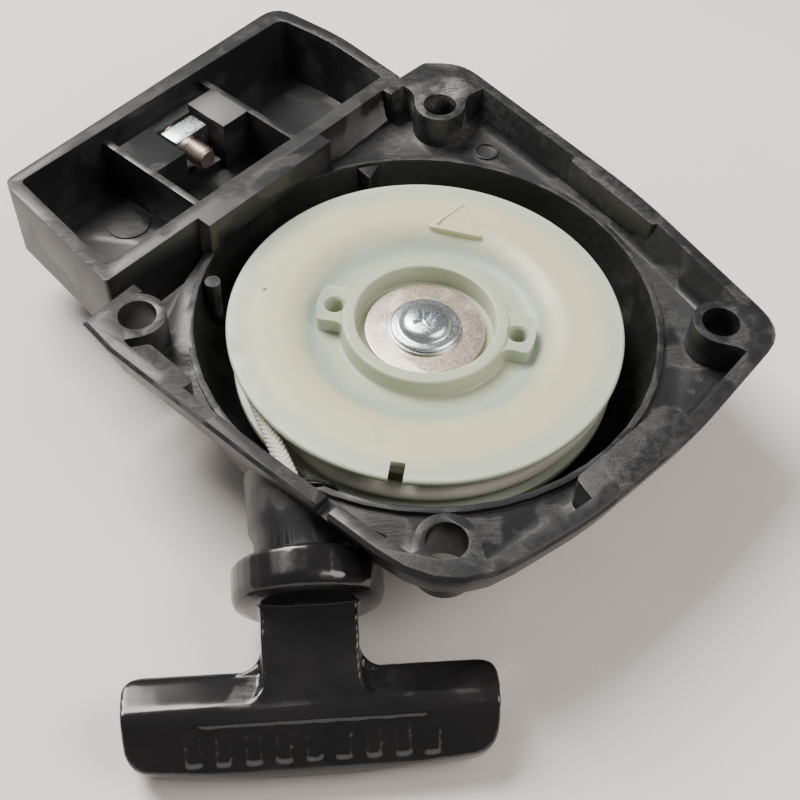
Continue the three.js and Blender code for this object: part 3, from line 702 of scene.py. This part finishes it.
# %% A helper that wires nodes
class Finish:
    def __init__(self, name, source="Object"):
        self.material = bpy.data.materials.new(name + "_finish")
        self.material.use_nodes = True
        self.tree = self.material.node_tree
        self.tree.nodes.clear()
        self.shader = self.add("ShaderNodeBsdfPrincipled")
        out = self.add("ShaderNodeOutputMaterial")
        self.tree.links.new(self.shader.outputs["BSDF"], out.inputs["Surface"])
        self.place = self.add("ShaderNodeTexCoord").outputs[source]

    def add(self, kind, settings=None, **inputs):
        node = self.tree.nodes.new(kind)
        for key, value in (settings or {}).items():
            setattr(node, key, value)
        for key, value in inputs.items():
            self.put(node, key.replace("_", " "), value)
        return node

    def put(self, node, socket, value):
        if isinstance(value, bpy.types.NodeSocket):
            self.tree.links.new(value, node.inputs[socket])
        else:
            node.inputs[socket].default_value = value

    def mapped(self, stretch=(1, 1, 1), turn=(0, 0, 0), shift=(0, 0, 0)):
        return self.add("ShaderNodeMapping", Vector=self.place, Scale=stretch, Location=shift,
                        Rotation=tuple(math.radians(a) for a in turn)).outputs["Vector"]

    def noise(self, scale, detail=2.0, rough=0.5, vector=None):
        node = self.add("ShaderNodeTexNoise", Vector=vector or self.place, Scale=scale,
                        Detail=detail, Roughness=rough)
        return node.outputs["Fac"]

    def cells(self, scale, vector=None, feature="F1"):
        node = self.add("ShaderNodeTexVoronoi", {"feature": feature}, Vector=vector or self.place,
                        Scale=scale)
        return node.outputs["Distance"]

    def band(self, value, low, high, out_low=0.0, out_high=1.0):
        """Stretches low..high of a value to out_low..out_high, and holds it outside."""
        node = self.add("ShaderNodeMapRange", {"clamp": True}, Value=value)
        for key, number in zip(("From Min", "From Max", "To Min", "To Max"), (low, high, out_low, out_high)):
            self.put(node, key, number)
        return node.outputs["Result"]

    def sum(self, a, b, operation="ADD"):
        node = self.tree.nodes.new("ShaderNodeMath")
        node.operation = operation
        self.put(node, 0, a)
        self.put(node, 1, b)
        return node.outputs[0]

    def times(self, a, b):
        return self.sum(a, b, "MULTIPLY")

    def most(self, a, b):
        return self.sum(a, b, "MAXIMUM")

    def blend(self, amount, a, b):
        node = self.add("ShaderNodeMix", {"data_type": "RGBA"})
        self.put(node, 0, amount)
        self.put(node, 6, a)
        self.put(node, 7, b)
        return node.outputs[2]

    def ramp(self, value, stops):
        node = self.add("ShaderNodeValToRGB", Fac=value)
        elements = node.color_ramp.elements
        while len(elements) < len(stops):
            elements.new(1)
        for element, (position, colour) in zip(elements, stops):
            element.position = position
            element.color = (*colour, 1)
        return node.outputs["Color"]

    def near(self, centre, radius, soft):
        """One inside a ball round a place in millimetres, fading to nothing over a soft edge."""
        offset = self.add("ShaderNodeVectorMath", {"operation": "DISTANCE"})
        self.put(offset, 0, self.place)
        self.put(offset, 1, tuple(c * MM for c in centre))
        return self.band(offset.outputs["Value"], (radius - soft) * MM, (radius + soft) * MM, 1.0, 0.0)

    def scratches(self, turn, length=14, width=0.12, amount=0.035):
        """Fine lines in one direction, broken up by a broad noise."""
        along, across = 1 / (length * MM), 1 / (width * MM)
        lines = self.noise(1.0, 1.0, 0.5, self.mapped((along, across, across), turn))
        line = self.band(self.sum(self.sum(lines, -0.5), 0.0, "ABSOLUTE"), 0.0, amount, 1.0, 0.0)
        return self.times(line, self.band(self.noise(90, 2.0), 0.5, 0.62))

    def height(self, *layers):
        """Stacks (value, distance in millimetres) layers of relief and feeds them to the shader."""
        normal = None
        for value, distance in layers:
            bump = self.add("ShaderNodeBump", Height=value, Distance=distance * MM, Strength=1.0)
            if normal:
                self.put(bump, "Normal", normal)
            normal = bump.outputs["Normal"]
        self.put(self.shader, "Normal", normal)

    def set(self, **inputs):
        for key, value in inputs.items():
            self.put(self.shader, key.replace("_", " "), value)
        return self.material


FINISHES = {}

# %% [markdown]
# ## Black glass-filled nylon
# The case is nylon with short glass fibres in it. It is dark grey rather than black, with a
# fine grain, pale specks where fibres reach the surface, long scuffs on the rim and a duller
# skin inside. The rim is rubbed most, so its wear grows with height. Gloss varies in patches,
# because the mould was polished unevenly.

# %% Make the black nylon
nylon = Finish("black_nylon")
heights = nylon.add("ShaderNodeSeparateXYZ", Vector=nylon.place).outputs["Z"]
on_rim = nylon.band(heights, 30.6 * MM, 32.4 * MM)
patches = nylon.noise(38, 4.0, 0.6)
grain = nylon.noise(2600, 3.0, 0.6)
specks = nylon.band(nylon.cells(1500), 0.0, 0.16, 1.0, 0.0)
specks = nylon.times(specks, nylon.band(nylon.noise(300, 2.0), 0.52, 0.6))
long_scuffs = nylon.scratches((0, 0, 31))
cross_scuffs = nylon.most(nylon.scratches((8, 0, -52), 9), nylon.scratches((0, 12, 84), 20))
scuffs = nylon.most(long_scuffs, cross_scuffs)
dull = None
for spot in ((48, 27, 31), (33, -45, 31), (-55, -14, 31), (2, 66, 25), (20, 60, 30)):
    patch = nylon.near(spot, 15, 9)
    dull = nylon.most(dull, patch) if dull else patch
dull = nylon.times(dull, nylon.band(nylon.noise(620, 3.0, 0.7), 0.42, 0.62))
wear = nylon.times(on_rim, nylon.band(nylon.noise(420, 4.0, 0.7), 0.46, 0.7))
nicks = nylon.most(nylon.scratches((0, 0, 62), 5, 0.3, 0.06), nylon.scratches((0, 0, 20), 4, 0.25, 0.05))
nicks = nylon.times(nicks, nylon.near((13, 64, 32), 9, 4))
base = nylon.ramp(patches, [(0.3, (0.010, 0.010, 0.011)), (0.7, (0.013, 0.013, 0.014))])
base = nylon.blend(nylon.times(wear, 0.2), base, (0.045, 0.045, 0.045, 1))
base = nylon.blend(nylon.times(dull, 0.35), base, (0.06, 0.06, 0.059, 1))
base = nylon.blend(nylon.times(specks, 0.4), base, (0.16, 0.16, 0.16, 1))
base = nylon.blend(nylon.times(scuffs, 0.3), base, (0.12, 0.12, 0.12, 1))
base = nylon.blend(nylon.times(nicks, 0.8), base, (0.4, 0.4, 0.4, 1))
gloss = nylon.sum(nylon.band(patches, 0.3, 0.7, 0.33, 0.38), nylon.times(nylon.most(wear, dull), 0.1))
FINISHES["black_nylon"] = nylon.set(Base_Color=base, Roughness=gloss, Specular_IOR_Level=0.5, IOR=1.53)
nylon.height((patches, 0.03), (grain, 0.03), (nylon.times(scuffs, -1.0), 0.02), (specks, 0.012))
print("black nylon uses", len(nylon.tree.nodes), "nodes")

# %% [markdown]
# ## Glossy black
# The handle, its cap and the rope guide come from a polished mould: a deep, shiny black with
# faint handling scratches, a little dust and a slow ripple that bends reflections slightly.

# %% Make the glossy black
shiny = Finish("gloss_black")
ripple = shiny.noise(110, 2.0, 0.4)
dust = shiny.band(shiny.cells(900), 0.0, 0.12, 1.0, 0.0)
dust = shiny.times(dust, shiny.band(shiny.noise(150, 2.0), 0.55, 0.65))
marks = shiny.most(shiny.scratches((0, 0, 12), 10, 0.08, 0.02), shiny.scratches((0, 0, -66), 6, 0.07, 0.02))
smear = shiny.noise(60, 3.0, 0.6)
tint = shiny.ramp(smear, [(0.3, (0.006, 0.006, 0.0065)), (0.75, (0.013, 0.012, 0.012))])
tint = shiny.blend(shiny.times(dust, 0.2), tint, (0.25, 0.24, 0.22, 1))
tint = shiny.blend(shiny.times(marks, 0.1), tint, (0.05, 0.05, 0.05, 1))
gloss = shiny.sum(shiny.band(smear, 0.3, 0.7, 0.1, 0.15), shiny.times(shiny.most(marks, dust), 0.12))
FINISHES["gloss_black"] = shiny.set(Base_Color=tint, Roughness=gloss, Specular_IOR_Level=0.55, IOR=1.52)
shiny.height((ripple, 0.08), (shiny.noise(3000, 2.0), 0.002), (shiny.times(marks, -1.0), 0.003))
print("glossy black uses", len(shiny.tree.nodes), "nodes")

# %% [markdown]
# ## Pale reel nylon
# Unfilled nylon is milky. Where the rope lies under the flange it shines through as a wide
# cream band. Outside that band, and nearer the hub, the flange is clearer and looks greener.
# Just inside the band a darker blue-grey ring is painted shade of the dished slope round the
# hub. So the colour follows the distance from the reel's axis, and a slow noise bends the
# borders. Light enters the plastic a few millimetres, which the subsurface setting gives.

# %% Make the reel nylon
milky = Finish("reel_nylon")
parts = milky.add("ShaderNodeSeparateXYZ", Vector=milky.place)
flat = milky.add("ShaderNodeCombineXYZ", X=parts.outputs["X"], Y=parts.outputs["Y"])
reach = milky.add("ShaderNodeVectorMath", {"operation": "LENGTH"})
milky.put(reach, 0, flat.outputs["Vector"])
wander = milky.times(milky.sum(milky.noise(70, 2.0), -0.5), 3.2 * MM)
share = milky.times(milky.sum(reach.outputs["Value"], wander), 1 / (REEL_R * MM))
# Painted shade: the darker blue-grey stop at 0.58 stands for the shading of the dished slope round the hub.
# The other stops are the plastic's own colour, with the rope seen through it.
rope_band_and_painted_shade = milky.ramp(share, [
    (0.30, (0.49, 0.545, 0.41)), (0.46, (0.46, 0.50, 0.36)), (0.58, (0.38, 0.45, 0.39)),
    (0.66, (0.60, 0.59, 0.38)), (0.86, (0.63, 0.61, 0.39)), (0.93, (0.48, 0.54, 0.42)),
    (1.0, (0.53, 0.61, 0.48)),
])
mottle = milky.noise(160, 4.0, 0.6)
rope_band_and_painted_shade = milky.blend(milky.band(mottle, 0.45, 0.75, 0.0, 0.22), rope_band_and_painted_shade, (0.45, 0.47, 0.36, 1))
grime = milky.times(milky.band(milky.noise(900, 4.0, 0.7), 0.62, 0.74), 0.3)
rope_band_and_painted_shade = milky.blend(grime, rope_band_and_painted_shade, (0.3, 0.29, 0.2, 1))
fleck = milky.near((-33.0, 12.0, 24), 0.5, 0.12)
rope_band_and_painted_shade = milky.blend(milky.times(fleck, 0.8), rope_band_and_painted_shade, (0.12, 0.08, 0.03, 1))
rubs = milky.most(milky.scratches((0, 0, -8), 8, 0.1, 0.03), milky.scratches((0, 0, 60), 5, 0.1, 0.03))
gloss = milky.sum(milky.band(mottle, 0.3, 0.7, 0.3, 0.46), milky.times(rubs, 0.12))
FINISHES["reel_nylon"] = milky.set(Base_Color=rope_band_and_painted_shade, Roughness=gloss, IOR=1.53, Subsurface_Weight=0.35,
                                   Subsurface_Radius=(1.0, 0.9, 0.55), Subsurface_Scale=2.5 * MM)
milky.height((milky.noise(300, 3.0), 0.05), (milky.noise(2200, 3.0), 0.012), (milky.times(rubs, -1.0), 0.012))
print("reel nylon uses", len(milky.tree.nodes), "nodes")

# %% [markdown]
# ## Rope fibre
# Bundles of white fibre catch the light along their length. The finish follows each strand's
# UV map: long thin noise makes the filaments, and broad noise the grey of handling and dust.

# %% Make the rope fibre
fibre = Finish("rope_fibre", "UV")
threads = fibre.noise(1.0, 2.0, 0.5, fibre.mapped((500, 9000, 1)))
soil = fibre.noise(1.0, 3.0, 0.6, fibre.mapped((160, 900, 1)))
shade = fibre.ramp(threads, [(0.25, (0.46, 0.43, 0.35)), (0.6, (0.74, 0.71, 0.62)), (0.8, (0.82, 0.8, 0.73))])
shade = fibre.blend(fibre.band(soil, 0.5, 0.78, 0.0, 0.4), shade, (0.36, 0.33, 0.26, 1))
FINISHES["rope_fibre"] = fibre.set(Base_Color=shade, Roughness=fibre.band(threads, 0.3, 0.7, 0.55, 0.8),
                                   Sheen_Weight=0.25, Sheen_Roughness=0.4, Subsurface_Weight=0.1,
                                   Subsurface_Scale=0.5 * MM)
fibre.height((threads, 0.06))
print("rope fibre uses", len(fibre.tree.nodes), "nodes")

# %% [markdown]
# ## Plated and bare steel
# Zinc plate is a thin crystalline skin, so it glitters: small cells tilt and tint it. Blue
# zinc is cool and bright. Yellow zinc drifts between straw, pink and green. The spring is dark
# tempered strip with rolling lines, and the post is bare turned steel. One helper makes all
# four, because only the colours and the scales differ.


# %% Make the metals
def metal(name, low, high, glitter, rough, grain_scale, streak):
    finish = Finish(name)
    crystals = finish.noise(grain_scale, 4.0, 0.75)
    drift = finish.noise(190, 3.0, 0.6)
    skin = finish.ramp(drift, [(0.3, low), (0.7, high)])
    skin = finish.blend(finish.band(crystals, 0.35, 0.7), skin, (*glitter, 1))
    rubbed = finish.most(finish.scratches((0, 0, 20), 4, 0.05, 0.03),
                         finish.scratches((40, 0, 100), 3, 0.05, 0.03))
    skin = finish.blend(finish.times(rubbed, 0.35), skin, (0.8, 0.8, 0.8, 1))
    stain = finish.band(finish.noise(420, 4.0, 0.7), 0.6, 0.78)
    skin = finish.blend(finish.times(stain, 0.35), skin, (0.16, 0.14, 0.11, 1))
    lines = finish.noise(1.0, 2.0, 0.5, finish.mapped(streak))
    gloss = finish.sum(finish.band(crystals, 0.3, 0.7, rough - 0.07, rough + 0.1), finish.times(stain, 0.15))
    FINISHES[name] = finish.set(Base_Color=skin, Metallic=1.0, Roughness=gloss)
    finish.height((crystals, 0.02), (lines, 0.008), (finish.times(rubbed, -1.0), 0.006))
    print(name, "uses", len(finish.tree.nodes), "nodes")


metal("blue_zinc", (0.50, 0.56, 0.60), (0.66, 0.70, 0.72), (0.78, 0.82, 0.84), 0.24, 2600, (400, 400, 9000))
metal("yellow_zinc", (0.74, 0.57, 0.44), (0.68, 0.60, 0.48), (0.95, 0.80, 0.72), 0.32, 2100, (700, 700, 4000))
metal("spring_steel", (0.10, 0.115, 0.14), (0.2, 0.2, 0.21), (0.26, 0.26, 0.27), 0.3, 1500, (300, 300, 16000))
metal("plain_steel", (0.42, 0.42, 0.41), (0.56, 0.55, 0.54), (0.62, 0.62, 0.6), 0.28, 1800, (200, 200, 12000))

# %% [markdown]
# ## The table
# The starter lies on a pale table cloth. It is a plain plane well beyond the view, with a slow
# unevenness and a fine weave, so that the soft shadows have something to fall on.

# %% Lay the table cloth
deselect()
bpy.ops.mesh.primitive_plane_add(size=3.0, location=(0, 0, case_box[0][2] - 0.05 * MM))
table = named("table_cloth")
cloth = Finish("table_cloth")
weave = cloth.noise(2400, 2.0)
folds = cloth.noise(9, 3.0, 0.5)
tone = cloth.ramp(folds, [(0.3, (0.80, 0.735, 0.69)), (0.7, (0.86, 0.81, 0.77))])
thread_shade = cloth.blend(cloth.band(weave, 0.3, 0.7, 0, 0.12), tone, (0.6, 0.56, 0.53, 1))
cloth.set(Base_Color=thread_shade, Roughness=0.9)
cloth.height((folds, 4.0), (weave, 0.06))
table.data.materials.append(cloth.material)

# %% [markdown]
# ## Dress the pieces and close the model
# Each piece now takes the finish that it noted.

# %% Hand out the finishes
for name, finish in WEARS.items():
    piece = bpy.data.objects[name]
    piece.data.materials.clear()
    piece.data.materials.append(FINISHES[finish])
print(len(WEARS), "pieces dressed with", len(FINISHES), "finishes")
